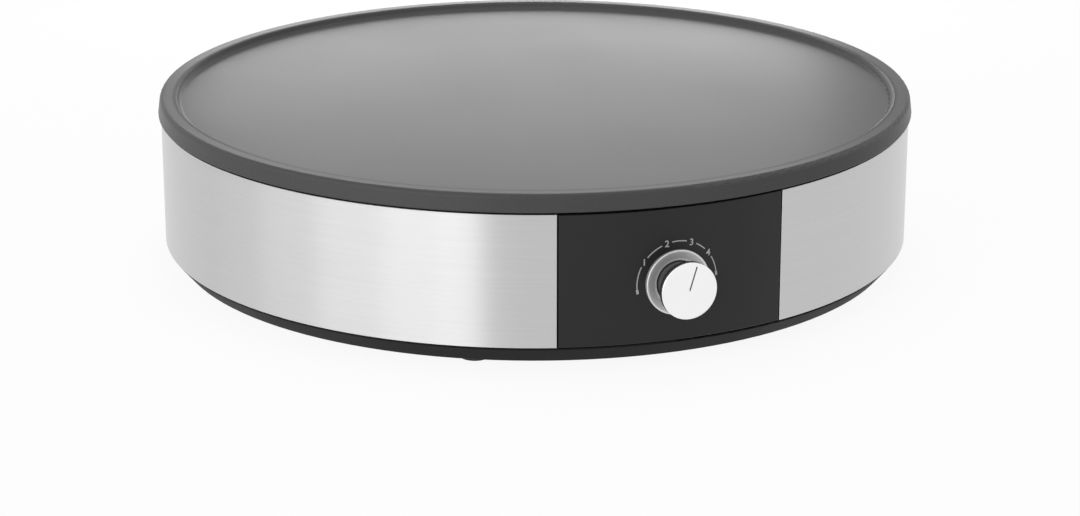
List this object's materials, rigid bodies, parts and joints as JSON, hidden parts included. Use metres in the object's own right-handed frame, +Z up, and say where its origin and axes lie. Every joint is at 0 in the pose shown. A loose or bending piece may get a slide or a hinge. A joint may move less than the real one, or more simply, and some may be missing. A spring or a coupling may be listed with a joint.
{
  "type": "electric crepe maker",
  "caption": "Low round drum with a flat cast cooking plate inside a raised rim, a brushed band, a curved front panel with a turning heat dial, a rear cord gland and rubber feet.",
  "frame": {"origin": "on the drum's axis, at the level that the feet stand on", "axes": "+Z up, out of the cooking plate; the control panel and dial face -Y, and the cord gland faces +Y; +X is to the right of someone who faces the panel"},
  "size_m": [0.3998, 0.4254, 0.0915],
  "materials": {
    "plate_coating": "cast aluminium under a semi-matte dark grey non-stick coating",
    "element_sheath": "heat-darkened steel sheath",
    "brass": "plain brass",
    "zinc_steel": "zinc plated",
    "reflector_sheet": "bright aluminised sheet",
    "ceramic": "unglazed steatite ceramic",
    "copper": "drawn copper tube",
    "phenolic": "moulded phenolic",
    "housing_plastic": "matte black moulded plastic",
    "rating_foil": "satin foil, bare",
    "seal_rubber": "matte black silicone",
    "band_steel": "fine brushed stainless steel",
    "panel_plastic": "fine matte black plastic with a light printed scale",
    "bezel_metal": "satin grey metal",
    "knob_side": "polished black",
    "knob_face": "circular brushed bright face",
    "sleeve_nylon": "natural nylon",
    "board_laminate": "paper laminate",
    "lamp_lens": "red diffused lens",
    "gland_plastic": "matte black nylon",
    "foot_rubber": "matte black rubber",
    "wire_brown": "silicone insulation",
    "wire_blue": "silicone insulation",
    "wire_green": "green insulation with a yellow stripe",
    "wire_black": "silicone insulation"
  },
  "bodies": {
    "drum": {"base_floor": "housing_plastic", "base_skirt": "housing_plastic", "bezel_ring": "bezel_metal", "block_screws": "zinc_steel", "bracket_screws": "zinc_steel", "bulb_clip_screws": "zinc_steel", "bulb_clips": "zinc_steel", "control_panel": "panel_plastic", "cord_gland": "gland_plastic", "crimp_sleeves": "sleeve_nylon", "cutout_blades": "brass", "cutout_screws": "zinc_steel", "earth_lug": "zinc_steel", "earth_screw": "zinc_steel", "element_clamp_screws": "zinc_steel", "element_clamps": "zinc_steel", "element_pins": "brass", "foot_1": "foot_rubber", "foot_2": "foot_rubber", "foot_3": "foot_rubber", "foot_4": "foot_rubber", "foot_5": "foot_rubber", "foot_6": "foot_rubber", "foot_screws": "zinc_steel", "gland_nut": "gland_plastic", "gland_plate": "housing_plastic", "griddle_plate": "plate_coating", "heat_reflector": "reflector_sheet", "heating_element": "element_sheath", "housing_wall": "housing_plastic", "indicator_lamp": "lamp_lens", "lamp_board": "board_laminate", "lamp_board_screws": "zinc_steel", "lamp_leads": "wire_black", "panel_screws": "zinc_steel", "plate_screws": "zinc_steel", "plate_standoffs": "ceramic", "pole_screws": "zinc_steel", "rating_plate": "rating_foil", "rim_seal": "seal_rubber", "sensor_bulb": "copper", "sensor_capillary": "copper", "steel_band": "band_steel", "terminal_block": "ceramic", "terminal_poles": "brass", "thermal_cutout": "phenolic", "thermostat": "phenolic", "thermostat_blades": "brass", "thermostat_bracket": "zinc_steel", "thermostat_screws": "zinc_steel", "wire_cutout": "wire_black", "wire_earth": "wire_green", "wire_heater": "wire_black", "wire_live": "wire_brown", "wire_neutral": "wire_blue"},
    "dial": {"knob": "knob_side", "knob_cap": "knob_face", "knob_spring": "zinc_steel", "thermostat_shaft": "zinc_steel"}
  },
  "joints": [
    {"name": "dial_turn", "type": "hinge", "parent": "drum", "child": "dial", "pos_m": [0, -0.2, 0.044], "axis": [0, 1, 0], "range_deg": [-117, 65]}
  ]
}
